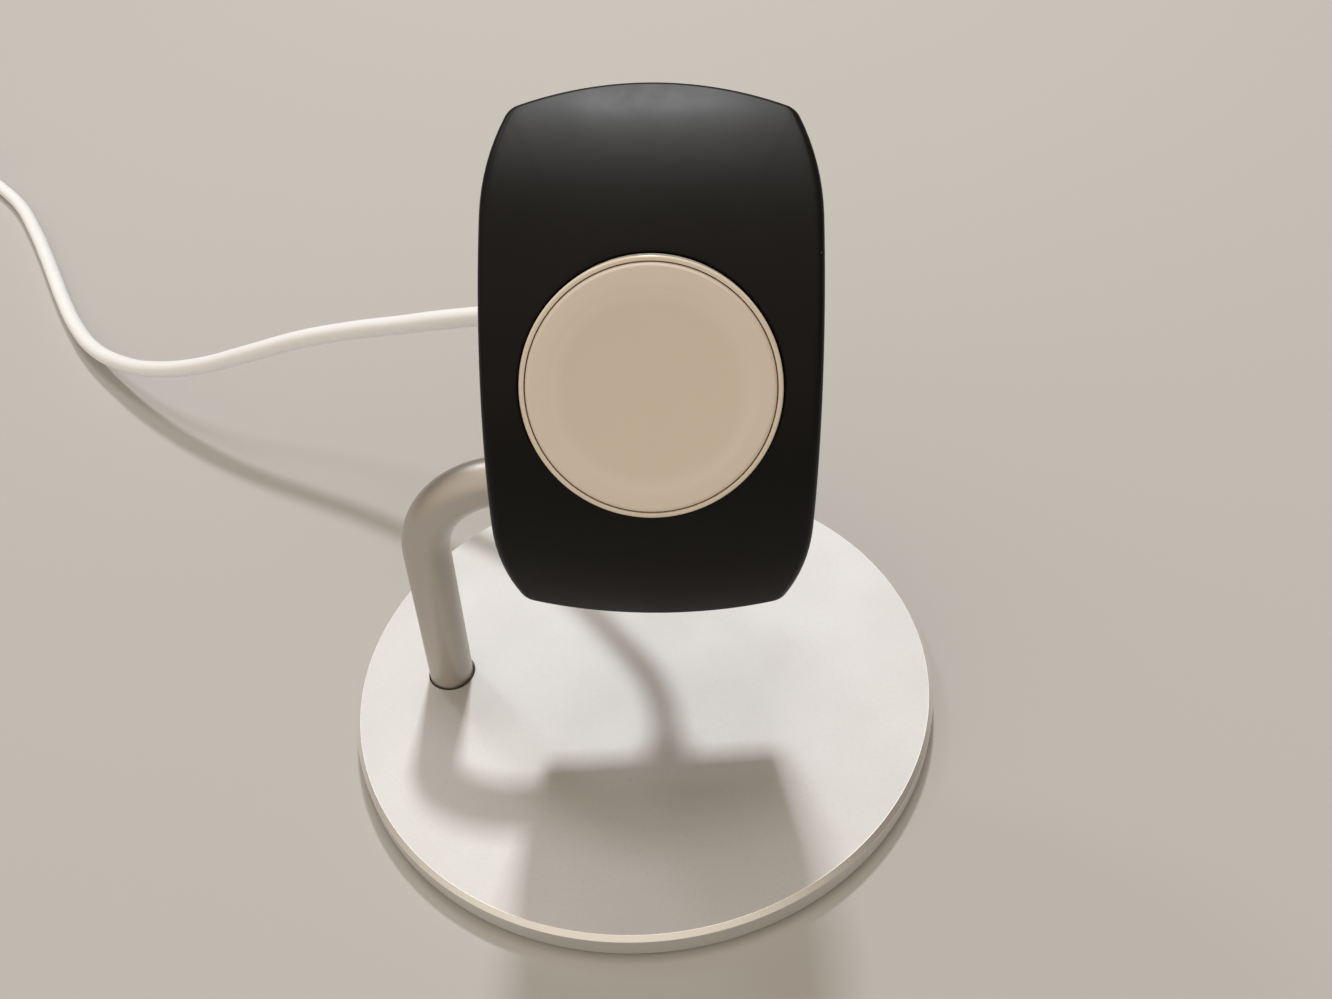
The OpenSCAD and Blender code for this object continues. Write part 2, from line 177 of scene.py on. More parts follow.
def rounded(corners, steps=5):
    """A profile whose corners (r, z, radius) are rounded by arcs of that radius."""
    profile = []
    for i, (r, z, radius) in enumerate(corners):
        here = Vector((r, z))
        if radius <= 0:
            profile.append((r, z))
            continue
        before = Vector(corners[i - 1][:2])
        after = Vector(corners[(i + 1) % len(corners)][:2])
        a, b = (before - here).normalized(), (after - here).normalized()
        half = a.angle(b) / 2
        centre = here + (a + b).normalized() * radius / sin(half)
        slope = sin(half) / cos(half)
        start, end = here + a * radius / slope, here + b * radius / slope
        from_angle = atan2(start.y - centre.y, start.x - centre.x)
        turn = atan2(end.y - centre.y, end.x - centre.x) - from_angle
        turn = (turn + pi) % (2 * pi) - pi
        for k in range(steps + 1):
            angle = from_angle + turn * k / steps
            profile.append((centre.x + radius * cos(angle), centre.y + radius * sin(angle)))
    return profile


def lathe_mesh(name, profile, segments=192, closed=False):
    """Turns a profile of (r, z) round Z. A point on the axis becomes one vertex. closed joins its ends."""
    bm = bmesh.new()
    rings = []
    for r, z in profile:
        if r < 1e-6:
            rings.append([bm.verts.new((0, 0, z))])
        else:
            rings.append([
                bm.verts.new((r * cos(2 * pi * k / segments), r * sin(2 * pi * k / segments), z))
                for k in range(segments)
            ])
    pairs = list(zip(rings, rings[1:])) + ([(rings[-1], rings[0])] if closed else [])
    for a, b in pairs:
        for k in range(segments):
            n = (k + 1) % segments
            corner = [a[k % len(a)], a[n % len(a)], b[n % len(b)], b[k % len(b)]]
            unique = []
            for vertex in corner:
                if vertex not in unique:
                    unique.append(vertex)
            if len(unique) > 2:
                bm.faces.new(unique)
    bmesh.ops.recalc_face_normals(bm, faces=bm.faces)
    mesh = bpy.data.meshes.new(name)
    bm.to_mesh(mesh)
    bm.free()
    return mesh


def carve(piece, cutters):
    """Cuts each cutter mesh (in the row frame) out of a piece, and applies the result."""
    for n, cutter in enumerate(cutters):
        tool = bpy.data.objects.new(f"{piece.name}_cutter_{n}", cutter)
        bpy.context.scene.collection.objects.link(tool)
        modifier = piece.modifiers.new("carve", "BOOLEAN")
        modifier.operation = "DIFFERENCE"
        modifier.solver = "EXACT"
        modifier.object = tool
        bpy.context.view_layer.update()
        graph = bpy.context.evaluated_depsgraph_get()
        carved = bpy.data.meshes.new_from_object(piece.evaluated_get(graph))
        piece.modifiers.clear()
        old = piece.data
        piece.data = carved
        bpy.data.meshes.remove(old)
        bpy.data.objects.remove(tool)
    bm = bmesh.new()
    bm.from_mesh(piece.data)
    bmesh.ops.remove_doubles(bm, verts=bm.verts, dist=1e-7)
    bm.to_mesh(piece.data)
    bm.free()
    piece.data.polygons.foreach_set("use_smooth", [True] * len(piece.data.polygons))
    return piece


def turned_piece(node, profile, segments, place, body, slot, closed=True, sharp=50):
    """Makes the finished piece of a node by turning a profile round the Z axis of its place."""
    mesh = lathe_mesh(f"{node}_finished", profile, segments, closed)
    return weighted(outward(finished(mesh, node, place, body, slot)), sharp)


# ---------------------------------------------------------------- materials
class Finish:
    """A node material whose detail lives in object coordinates, so it moves with its piece."""

    def __init__(self, name, color, roughness, metallic=0.0, **sockets):
        self.material = bpy.data.materials.new(name)
        self.material.use_nodes = True
        self.tree = self.material.node_tree
        self.shader = self.tree.nodes["Principled BSDF"]
        self.coordinates = self.tree.nodes.new("ShaderNodeTexCoord").outputs["Object"]
        self.color, self.roughness, self.normal = (*color, 1), roughness, None
        self.shader.inputs["Base Color"].default_value = self.color
        self.shader.inputs["Roughness"].default_value = roughness
        self.shader.inputs["Metallic"].default_value = metallic
        for socket, value in sockets.items():
            self.shader.inputs[socket.replace("_", " ")].default_value = value

    def link(self, a, b):
        self.tree.links.new(a, b)

    def node(self, kind, **inputs):
        node = self.tree.nodes.new(kind)
        for key, value in inputs.items():
            socket = node.inputs[key.replace("_", " ")]
            if isinstance(value, bpy.types.NodeSocket):
                self.link(value, socket)
            else:
                socket.default_value = value
        return node

    def stretched(self, x, y, z, turned=(0, 0, 0)):
        mapping = self.node("ShaderNodeMapping", Vector=self.coordinates)
        mapping.inputs["Scale"].default_value = (x, y, z)
        mapping.inputs["Rotation"].default_value = turned
        return mapping.outputs["Vector"]

    def noise(self, size_mm, detail=2.0, vector=None, roughness=0.5):
        made = self.node("ShaderNodeTexNoise", Vector=vector or self.coordinates,
                         Scale=1 / (size_mm * MM), Detail=detail, Roughness=roughness)
        return made.outputs["Fac"]

    def cells(self, size_mm, output="Distance", vector=None):
        made = self.node("ShaderNodeTexVoronoi", Vector=vector or self.coordinates,
                         Scale=1 / (size_mm * MM))
        return made.outputs[output]

    def ramp(self, value, low, high, to_low=0.0, to_high=1.0):
        made = self.node("ShaderNodeMapRange", Value=value)
        made.inputs["From Min"].default_value = low
        made.inputs["From Max"].default_value = high
        made.inputs["To Min"].default_value = to_low
        made.inputs["To Max"].default_value = to_high
        return made.outputs["Result"]

    def math(self, operation, a, b=0.0):
        made = self.tree.nodes.new("ShaderNodeMath")
        made.operation = operation
        for socket, value in zip(made.inputs, (a, b)):
            if isinstance(value, bpy.types.NodeSocket):
                self.link(value, socket)
            else:
                socket.default_value = value
        return made.outputs["Value"]

    def tint(self, fac, color):
        """Mixes a second colour in where fac is 1."""
        made = self.tree.nodes.new("ShaderNodeMix")
        made.data_type = "RGBA"
        self.link(fac, made.inputs["Factor"])
        if isinstance(self.color, bpy.types.NodeSocket):
            self.link(self.color, made.inputs["A"])
        else:
            made.inputs["A"].default_value = self.color
        made.inputs["B"].default_value = (*color, 1)
        self.color = made.outputs["Result"]
        self.link(self.color, self.shader.inputs["Base Color"])
        return self

    def rough(self, fac, low, high):
        """Roughness runs from low to high as fac runs from 0 to 1."""
        self.link(self.ramp(fac, 0, 1, low, high), self.shader.inputs["Roughness"])
        return self

    def bump(self, height, depth_mm, strength=1.0):
        made = self.node("ShaderNodeBump", Strength=strength, Distance=depth_mm * MM, Height=height)
        if self.normal is not None:
            self.link(self.normal, made.inputs["Normal"])
        self.normal = made.outputs["Normal"]
        self.link(self.normal, self.shader.inputs["Normal"])
        return self


def blasted_aluminium(name, color, roughness, grit_mm, depth_mm):
    f = Finish(name, color, roughness, metallic=1.0, Specular_IOR_Level=0.5)
    grit = f.noise(grit_mm, detail=3.0, roughness=0.65)
    f.bump(grit, depth_mm, 0.55)
    f.bump(f.cells(grit_mm * 1.6), depth_mm * 0.7, 0.35)
    cloud = f.noise(14, detail=3.0)
    f.tint(f.ramp(cloud, 0.35, 0.7, 0.0, 0.10), tuple(c * 0.86 for c in color))
    sparkle = f.ramp(f.cells(grit_mm * 2.2, "Color"), 0.0, 1.0)
    f.tint(f.ramp(grit, 0.62, 0.78, 0.0, 0.35), (0.97, 0.96, 0.95))
    f.rough(f.math("ADD", f.math("MULTIPLY", sparkle, 0.5), f.math("MULTIPLY", cloud, 0.5)),
            roughness - 0.09, roughness + 0.07)
    return f.material


def base_finish():
    """Bead-blasted plate with a bright, turned chamfer round its top edge."""
    f = Finish("base_aluminium", (0.69, 0.685, 0.68), 0.68, metallic=0.85)
    grit = f.noise(0.22, detail=3.0, roughness=0.65)
    f.bump(grit, 0.02, 0.5)
    f.bump(f.cells(0.34), 0.016, 0.35)
    cloud = f.noise(12, detail=3.0)
    f.tint(f.ramp(cloud, 0.35, 0.7, 0.0, 0.06), (0.55, 0.54, 0.52))
    f.tint(f.ramp(grit, 0.62, 0.78, 0.0, 0.5), (0.82, 0.82, 0.82))
    f.tint(f.ramp(f.noise(0.5, detail=2.0), 0.55, 0.8, 0.0, 0.2), (0.50, 0.49, 0.475))
    split = f.node("ShaderNodeSeparateXYZ", Vector=f.coordinates)
    radius = f.math("SQRT", f.math("ADD", f.math("MULTIPLY", split.outputs["X"], split.outputs["X"]),
                                   f.math("MULTIPLY", split.outputs["Y"], split.outputs["Y"])))
    edge = f.ramp(radius, (BASE_R - CHAMFER - 0.08) * MM, (BASE_R - CHAMFER) * MM)
    above = f.ramp(split.outputs["Z"], (BASE_H - CHAMFER - 0.1) * MM, (BASE_H - CHAMFER) * MM)
    turned = f.math("MULTIPLY", edge, above)
    f.tint(turned, (0.93, 0.92, 0.90))
    blast = f.ramp(cloud, 0, 1, 0.66, 0.72)
    made = f.tree.nodes.new("ShaderNodeMix")
    f.link(turned, made.inputs["Factor"])
    f.link(blast, made.inputs["A"])
    made.inputs["B"].default_value = 0.24
    f.link(made.outputs["Result"], f.shader.inputs["Roughness"])
    return f.material


def soft_touch():
    """Black soft-touch coat: a very fine grain, faint handling marks and a few specks of dust."""
    f = Finish("head_soft_touch", (0.004, 0.0036, 0.0032), 0.35, Specular_IOR_Level=0.16)
    f.bump(f.noise(0.09, detail=2.0), 0.006, 0.35)
    marks = f.noise(9, detail=4.0, roughness=0.6)
    f.rough(f.ramp(marks, 0.3, 0.75), 0.36, 0.43)
    f.tint(f.ramp(marks, 0.4, 0.8, 0.0, 0.4), (0.007, 0.0066, 0.006))
    speck = f.ramp(f.cells(3.1), 0.0, 0.035, 1.0, 0.0)
    rare = f.ramp(f.noise(11, detail=0.0), 0.63, 0.66)
    f.tint(f.math("MULTIPLY", speck, rare), (0.32, 0.28, 0.23))
    return f.material


def glossy(name, color, roughness, shade, coat=0.0):
    """Moulded plastic: a slight orange peel, cloudy tone and fine scuffs."""
    f = Finish(name, color, roughness, Specular_IOR_Level=0.5)
    f.shader.inputs["Coat Weight"].default_value = coat
    f.shader.inputs["Coat Roughness"].default_value = 0.12
    f.shader.inputs["Subsurface Weight"].default_value = 0.06
    f.shader.inputs["Subsurface Radius"].default_value = (0.002, 0.0014, 0.001)
    f.bump(f.noise(0.7, detail=2.0), 0.006, 0.25)
    f.bump(f.noise(0.11, detail=1.0), 0.0015, 0.2)
    cloud = f.noise(8, detail=3.0)
    f.tint(f.ramp(cloud, 0.35, 0.75, 0.0, 0.35), shade)
    scuffs = f.noise(1.2, detail=5.0, vector=f.stretched(1, 0.16, 1, (0, 0, 0.6)))
    f.rough(f.ramp(scuffs, 0.35, 0.8), roughness - 0.04, roughness + 0.10)
    return f


def head_coordinates(f):
    """Object coordinates moved and turned so that the puck's axis is Z and its face's middle is 0."""
    moved = f.tree.nodes.new("ShaderNodeVectorMath")
    moved.operation = "SUBTRACT"
    f.link(f.coordinates, moved.inputs[0])
    moved.inputs[1].default_value = face
    turned = f.tree.nodes.new("ShaderNodeVectorRotate")
    turned.rotation_type, turned.invert = "EULER_XYZ", True
    turned.inputs["Rotation"].default_value = HEAD.to_euler()
    f.link(moved.outputs["Vector"], turned.inputs["Vector"])
    return turned.outputs["Vector"]


def cap_finish():
    """Cap of the puck: smooth and slightly glossy, with painted shade that darkens the inside of its dish."""
    f = glossy("charger_cap_white", (0.79, 0.72, 0.63), 0.34, (0.775, 0.70, 0.60))
    across = f.tree.nodes.new("ShaderNodeVectorMath")
    across.operation = "LENGTH"
    flat = f.node("ShaderNodeVectorMath", Vector=head_coordinates(f))
    flat.operation = "MULTIPLY"
    flat.inputs[1].default_value = (1, 1, 0)
    f.link(flat.outputs["Vector"], across.inputs[0])
    wobble = f.math("MULTIPLY", f.noise(6, detail=2.0), 0.0004)
    radius = f.math("ADD", across.outputs["Value"], wobble)
    # Painted shade: inside the dish the cap is tinted darker, standing in for the shade that the shallow dish
    # holds.
    inside = f.ramp(radius, (DISH_R - 1.5) * MM, (DISH_R - 0.3) * MM, 0.75, 0.0)
    f.tint(inside, (0.735, 0.66, 0.565))
    return f.material


def elastomer(name, color, shade):
    """Smooth cable jacket: soft sheen, faint ripples along it and slight grime."""
    f = Finish(name, color, 0.42, Specular_IOR_Level=0.45)
    f.shader.inputs["Subsurface Weight"].default_value = 0.08
    f.shader.inputs["Subsurface Radius"].default_value = (0.0015, 0.0012, 0.001)
    f.bump(f.noise(2.4, detail=1.0), 0.03, 0.25)
    f.bump(f.noise(0.16, detail=2.0), 0.003, 0.3)
    grime = f.noise(5, detail=4.0)
    f.tint(f.ramp(grime, 0.5, 0.8, 0.0, 0.3), shade)
    f.rough(f.ramp(grime, 0.3, 0.75), 0.36, 0.52)
    return f.material


def rubber():
    """Matt black rubber with a fine grain."""
    f = Finish("pad_rubber", (0.022, 0.022, 0.023), 0.72, Specular_IOR_Level=0.35)
    grain = f.noise(0.25, detail=4.0, roughness=0.6)
    f.bump(grain, 0.02, 0.5)
    f.tint(f.ramp(grain, 0.5, 0.8, 0.0, 0.5), (0.05, 0.049, 0.047))
    f.rough(grain, 0.62, 0.82)
    return f.material


def drawn_metal(name, color, roughness, way=(1, 0.05, 1), line_mm=0.15):
    """Drawn or rolled metal: fine lines along one direction."""
    f = Finish(name, color, roughness, metallic=1.0)
    lines = f.noise(line_mm, detail=4.0, vector=f.stretched(*way))
    f.bump(lines, 0.004, 0.35)
    f.tint(f.ramp(f.noise(3, detail=3.0), 0.4, 0.75, 0.0, 0.3), tuple(c * 0.8 for c in color))
    f.rough(lines, roughness - 0.08, roughness + 0.12)
    return f.material


def wound_copper():
    """Enamelled wire in a flat spiral: fine rings about the puck's axis."""
    f = Finish("coil_copper", (0.72, 0.38, 0.20), 0.3, metallic=1.0)
    f.shader.inputs["Coat Weight"].default_value = 0.5
    wave = f.tree.nodes.new("ShaderNodeTexWave")
    wave.wave_type, wave.rings_direction = "RINGS", "SPHERICAL"
    f.link(head_coordinates(f), wave.inputs["Vector"])
    wave.inputs["Scale"].default_value = 300
    f.bump(wave.outputs["Fac"], 0.15, 0.8)
    # Painted shade: the low parts of the rings, between the wire's turns, are tinted dark brown.
    f.tint(f.ramp(wave.outputs["Fac"], 0.0, 0.4, 0.8, 0.0), (0.25, 0.10, 0.05))
    f.rough(f.noise(0.8), 0.24, 0.4)
    return f.material


def circuit_board():
    """Green solder mask with copper tracks under it."""
    f = Finish("board_green", (0.02, 0.13, 0.055), 0.35, Specular_IOR_Level=0.5)
    tracks = f.node("ShaderNodeTexBrick", Vector=head_coordinates(f), Scale=420.0)
    tracks.inputs["Mortar Size"].default_value = 0.06
    f.tint(tracks.outputs["Fac"], (0.06, 0.27, 0.11))
    f.bump(tracks.outputs["Fac"], 0.035, 0.7)
    f.bump(f.noise(0.3), 0.01, 0.3)
    f.rough(f.noise(1.5), 0.28, 0.45)
    return f.material


def sintered():
    """Sintered ferrite: dark, dull and grainy."""
    f = Finish("shield_ferrite", (0.035, 0.035, 0.038), 0.55)
    grain = f.noise(0.12, detail=4.0, roughness=0.7)
    f.bump(grain, 0.02, 0.6)
    f.tint(f.ramp(grain, 0.55, 0.8), (0.09, 0.09, 0.095))
    f.rough(grain, 0.42, 0.68)
    return f.material


def moulded_black(name, color):
    """Moulded black plastic with a spark-eroded grain."""
    f = Finish(name, color, 0.5, Specular_IOR_Level=0.45)
    grain = f.noise(0.18, detail=3.0)
    f.bump(grain, 0.012, 0.4)
    f.tint(f.ramp(f.noise(4, detail=2.0), 0.4, 0.75, 0.0, 0.5), tuple(c * 1.5 for c in color))
    f.rough(grain, 0.42, 0.6)
    return f.material


MATERIALS = {
    "base_aluminium": base_finish(),
    "arm_aluminium": blasted_aluminium("arm_aluminium", (0.56, 0.53, 0.49), 0.42, 0.16, 0.012),
    "ballast_steel": drawn_metal("ballast_steel", (0.50, 0.51, 0.52), 0.42, line_mm=0.3),
    "pad_rubber": rubber(),
    "fastener_steel": drawn_metal("fastener_steel", (0.55, 0.56, 0.57), 0.34),
    "insert_brass": drawn_metal("insert_brass", (0.72, 0.55, 0.26), 0.30),
    "head_soft_touch": soft_touch(),
    "bracket_aluminium": blasted_aluminium("bracket_aluminium", (0.66, 0.67, 0.68), 0.5, 0.3, 0.02),
    "seat_plastic": moulded_black("seat_plastic", (0.028, 0.028, 0.03)),
    "charger_white": glossy("charger_white", (0.80, 0.72, 0.61), 0.26, (0.77, 0.69, 0.57), 0.3).material,
    "charger_cap_white": cap_finish(),
    "magnet_plated": drawn_metal("magnet_plated", (0.62, 0.63, 0.65), 0.22, way=(1, 1, 1), line_mm=0.5),
    "coil_copper": wound_copper(),
    "shield_ferrite": sintered(),
    "board_green": circuit_board(),
    "lead_white": elastomer("lead_white", (0.95, 0.97, 0.99), (0.91, 0.925, 0.94)),
    "plug_white": glossy("plug_white", (0.85, 0.84, 0.82), 0.30, (0.80, 0.79, 0.77)).material,
    "plug_metal": drawn_metal("plug_metal", (0.66, 0.67, 0.68), 0.26, way=(1, 0.04, 1)),
    "contact_gold": drawn_metal("contact_gold", (0.83, 0.62, 0.27), 0.2, way=(1, 0.1, 1)),
}
for part in frame["record"]["subparts"]:
    meshed = nodes[part["node"]].data
    meshed.materials.clear()
    meshed.materials.append(MATERIALS[part["material_slot"]])


# ---------------------------------------------------------------- camera
LENS_MM = 29.63
EYE = (10.88, -104.53, 129.97)
YAW, PITCH, ROLL = radians(3.097), radians(41.67), radians(-4.189)
ahead = Vector((-sin(YAW) * cos(PITCH), cos(YAW) * cos(PITCH), -sin(PITCH)))
level = Vector((cos(YAW), sin(YAW), 0))
upward = level.cross(ahead)
right = cos(ROLL) * level + sin(ROLL) * upward
top = cos(ROLL) * upward - sin(ROLL) * level
camera_data = bpy.data.cameras.new("camera")
camera_data.lens = LENS_MM
camera_data.sensor_width = 36
camera_data.sensor_fit = "HORIZONTAL"
camera_data.clip_start = 0.005
camera = bpy.data.objects.new("camera", camera_data)
facing = Matrix((right, top, -ahead)).transposed().to_4x4()
camera.matrix_world = Matrix.Translation(Vector(EYE) * MM) @ facing
bpy.context.scene.collection.objects.link(camera)
bpy.context.scene.camera = camera


# ---------------------------------------------------------------- lead: run, stored coil and tail
exit_at = HEAD @ (Vector((0, 0, BACK_Z - 3.4)) * MM)
RUN_ROUTE = [
    (3.9, 18.5, 47.5), (2, 23, 45.8), (-3, 29.5, 44.2), (-9, 36, 42.2), (-17, 42, 39.5),
    (-25, 46, 36.6), (-32, 49, 34.4), (-40, 52.5, 31.6), (-50, 56.5, 28.4), (-61, 60, 24.8),
    (-73, 63.5, 20), (-85, 68, 14.8), (-99, 75.5, 9.4), (-110, 83.5, 5.8), (-121, 93.5, 3.2),
    (-130, 104.5, 1.9), (-138.5, 117, 1.65), (-146, 129, 1.65), (-153.5, 141, 1.65),
    (-162, 154, 1.65), (-172, 168, 1.65), (-183, 180, 1.65), (-193.5, 190, 1.8),
]
TAIL_ROUTE = [
    (-238, 175, 5.0), (-238, 165, 4.1), (-238, 155, 3.0), (-238, 145, 2.4), (-238, 135, 3.1),
    (-238, 128, 3.8), (-238, 124.1, 4),
]
# The coil's cells in the order that the cord fills them: radius and height of its centre line
COIL_CELLS = [
    (COIL_OUTER, 2.1), (COIL_INNER, 2.1), (COIL_INNER, 5.3), (COIL_INNER, 8.5),
    (COIL_OUTER, 8.5), (COIL_OUTER, 5.3),
]
COIL_START, COIL_TURN = 48, 1932
COIL_CHANGE = 50
COIL_STEP = 20


def eased(t):
    """Runs smoothly from 0 to 1 as t does, and stays level outside."""
    t = max(0.0, min(1.0, t))
    return t * t * (3 - 2 * t)


def coil_point(turned):
    """The cord's centre after so many degrees of the coil."""
    cell = COIL_TURN / len(COIL_CELLS)
    radius, height = COIL_CELLS[0]
    for n, (r, z) in enumerate(COIL_CELLS[1:], 1):
        change = eased((turned - n * cell) / COIL_CHANGE + 0.5)
        radius += change * (r - COIL_CELLS[n - 1][0])
        height += change * (z - COIL_CELLS[n - 1][1])
    angle = radians(COIL_START + turned)
    return (COIL_AT[0] + radius * cos(angle), COIL_AT[1] + radius * sin(angle), height)


def lead_cord():
    """The whole outer lead as one curve: the run from the head, the coil and the tail to the plug."""
    steps = COIL_TURN // COIL_STEP
    coil_route = [coil_point(COIL_TURN * k / steps) for k in range(steps + 1)]
    lead_points = [exit_at] + [Vector(p) * MM for p in RUN_ROUTE + coil_route + TAIL_ROUTE]
    lead_curve = bpy.data.curves.new("lead", "CURVE")
    lead_curve.dimensions = "3D"
    lead_curve.bevel_depth = LEAD_R * MM
    lead_curve.bevel_resolution = 8
    lead_curve.resolution_u = 6
    lead_curve.use_fill_caps = True
    lead_line = lead_curve.splines.new("BEZIER")
    lead_line.bezier_points.add(len(lead_points) - 1)
    for knot, place in zip(lead_line.bezier_points, lead_points):
        knot.co = place
        knot.handle_left_type = knot.handle_right_type = "AUTO"
    lead = bpy.data.objects.new("lead", lead_curve)
    bpy.context.scene.collection.objects.link(lead)
    lead_curve.materials.append(MATERIALS["lead_white"])
    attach(lead, "stand")
    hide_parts("cord_run", "cord_coil", "cord_tail")
    return lead


lead = lead_cord()


# ---------------------------------------------------------------- base plate, foot and arm
def base_plate():
    """Turned plate with a shallow recess for its pad, and a leaning socket for the arm's foot."""
    profile = rounded([
        (0, PAD_PROUD + RECESS_H, 0), (PAD_R + 0.1, PAD_PROUD + RECESS_H, 0), (PAD_R + 0.1, PAD_PROUD, 0.05),
        (BASE_R, PAD_PROUD, 0.3), (BASE_R, BASE_H - CHAMFER, 0.1),
        (BASE_R - CHAMFER, BASE_H, 0.08), (BASE_R - 3, BASE_H, 0), (0, BASE_H, 0)
    ], 4)
    mesh = lathe_mesh("base_plate_finished", profile, 288)
    piece = finished(mesh, "base_plate", STAND, "stand", "base_aluminium")
    socket = lathe_mesh("socket", [
        (0, -SOCKET_H), (SOCKET_R, -SOCKET_H), (SOCKET_R, -0.06), (SOCKET_R + 0.12, 0.06),
        (SOCKET_R + 0.12, 3), (0, 3)
    ], 96)
    return weighted(carve(piece, [placed(socket, ARM)]))


def arm_tube():
    """Tube of constant wall along the post, the bend and the run into the head, closed at both ends."""
    inner = ARM_R - ARM_WALL
    arm_top = ARM_STRAIGHT + BEND_R
    reach = (HEAD.translation.x / MM - FOOT[0]) + 6
    sides, bend_steps = 72, 36
    path = [(0, z, 0) for z in (-SOCKET_H, -SOCKET_H + 0.15, 2, 6, 11, 16, 21)]
    path += [(BEND_R * (1 - cos(a)), ARM_STRAIGHT + BEND_R * sin(a), a)
             for a in (pi / 2 * k / bend_steps for k in range(bend_steps + 1))]
    path += [(x, arm_top, pi / 2) for x in (16, 20, 25, 30, reach - 0.15, reach)]
    last = len(path) - 1
    outer_rings = [(p, ARM_R - (0.15 if i in (0, last) else 0)) for i, p in enumerate(path)]
    inner_rings = [(p, inner) for p in reversed(path)]
    points = []
    for (x, z, turned), radius in outer_rings + inner_rings:
        across = Vector((cos(turned), 0, -sin(turned)))
        for k in range(sides):
            a = 2 * pi * k / sides
            points.append(Vector((x, 0, z)) + radius * (cos(a) * across + sin(a) * Vector((0, 1, 0))))
    mesh = mesh_of("arm_tube_finished", points, ring_faces(len(outer_rings) * 2, sides, True))
    piece = finished(mesh, "arm_tube", ARM, "stand", "arm_aluminium")
    return weighted(outward(piece), 60)


base_plate()
arm_tube()


# ---------------------------------------------------------------- head
SHOULDER = Vector((HEAD_W / 2 - SHOULDER_R, SIDE_HALF))
CROWN = Vector((0, HEAD_L / 2 - CROWN_R))


def corner_centre():
    """Centre of the corner's circle, which touches the shoulder's and the crown's from inside."""
    a, b = SHOULDER_R - CORNER_R, CROWN_R - CORNER_R
    way = CROWN - SHOULDER
    apart = way.length
    k = (a * a - b * b + apart * apart) / (2 * apart)
    way.normalize()
    return SHOULDER + k * way + sqrt(a * a - k * k) * Vector((-way.y, way.x))


CORNER = corner_centre()
TURN_1 = atan2(CORNER.y - SHOULDER.y, CORNER.x - SHOULDER.x)
TURN_2 = atan2(CORNER.y - CROWN.y, CORNER.x)


def outline_samples():
    """Points of the head's outline as (centre, radius, outward direction), anticlockwise from the middle
    of its right side: straight side, shoulder, corner, crowned end, and so on by symmetry."""
    side, shoulder, corner, crown = 9, 8, 10, 18
    quarter = [((SHOULDER.x, SIDE_HALF * k / side), SHOULDER_R, 0.0) for k in range(side)]
    quarter += [(tuple(SHOULDER), SHOULDER_R, TURN_1 * k / shoulder) for k in range(shoulder)]
    quarter += [(tuple(CORNER), CORNER_R, TURN_1 + (TURN_2 - TURN_1) * k / corner) for k in range(corner)]
    quarter += [(tuple(CROWN), CROWN_R, TURN_2 + (pi / 2 - TURN_2) * k / crown) for k in range(crown + 1)]
    upper = quarter + [((-x, y), r, pi - a) for (x, y), r, a in reversed(quarter[1:-1])]
    left_middle = [((-SHOULDER.x, 0), SHOULDER_R, pi)]
    lower = [((-x, -y), r, a + pi) for (x, y), r, a in upper[1:]]
    return [(Vector((x, y + SEAT_DROP)), r, Vector((cos(a), sin(a)))) for (x, y), r, a in
            upper + left_middle + lower]


OUTLINE = outline_samples()


def outline_point(sample, inset, z=0.0):
    """A point of the outline moved in by inset. Behind the waist two slanting sides cut it narrower."""
    centre, radius, way = sample
    point = centre + (radius - inset) * way
    slant = (HEAD_W - BACK_W) / 2 * max(0.0, (WAIST_Z - z) / (WAIST_Z - BACK_Z))
    limit = HEAD_W / 2 - inset - slant
    return Vector((max(-limit, min(limit, point.x)), point.y))


def front_height(y, inset=0.0):
    """Height of the curved front at y, or of a surface that lies inset behind it."""
    return FRONT_AXIS_Z + sqrt((FRONT_R - inset) ** 2 - y * y)


def back_height(y, inset=0.0):
    """Height of the slightly curved back at y, or of a surface that lies inset before it."""
    return BACK_Z + BACK_R - sqrt((BACK_R - inset) ** 2 - (y - BACK_Y) ** 2)


def at_back(sample, inset, lift=0.0):
    """The point where the outline, moved in by inset, meets the back surface lifted by lift."""
    z = back_height(outline_point(sample, inset).y, lift)
    flat = outline_point(sample, inset, z)
    return Vector((flat.x, flat.y, z))


def down_wall(sample, inset, high, low, steps):
    """Points down a wall of the head, with one at the waist if the wall passes it."""
    middle = WAIST_Z if high > WAIST_Z + 0.4 else high + (low - high) * 0.3
    levels = [high + (middle - high) * k / steps for k in range(1, steps + 1)]
    levels += [middle + (low - middle) * k / steps for k in range(1, steps)]
    for z in levels:
        flat = outline_point(sample, inset, z)
        yield Vector((flat.x, flat.y, z))


def turned_arc(centre, start, end, radius, steps):
    """Points round a centre from one unit direction to another, both ends included."""
    angle = start.angle(end)
    for k in range(steps + 1):
        t = k / steps
        way = (start * sin((1 - t) * angle) + end * sin(t * angle)) / sin(angle)
        yield centre + radius * way


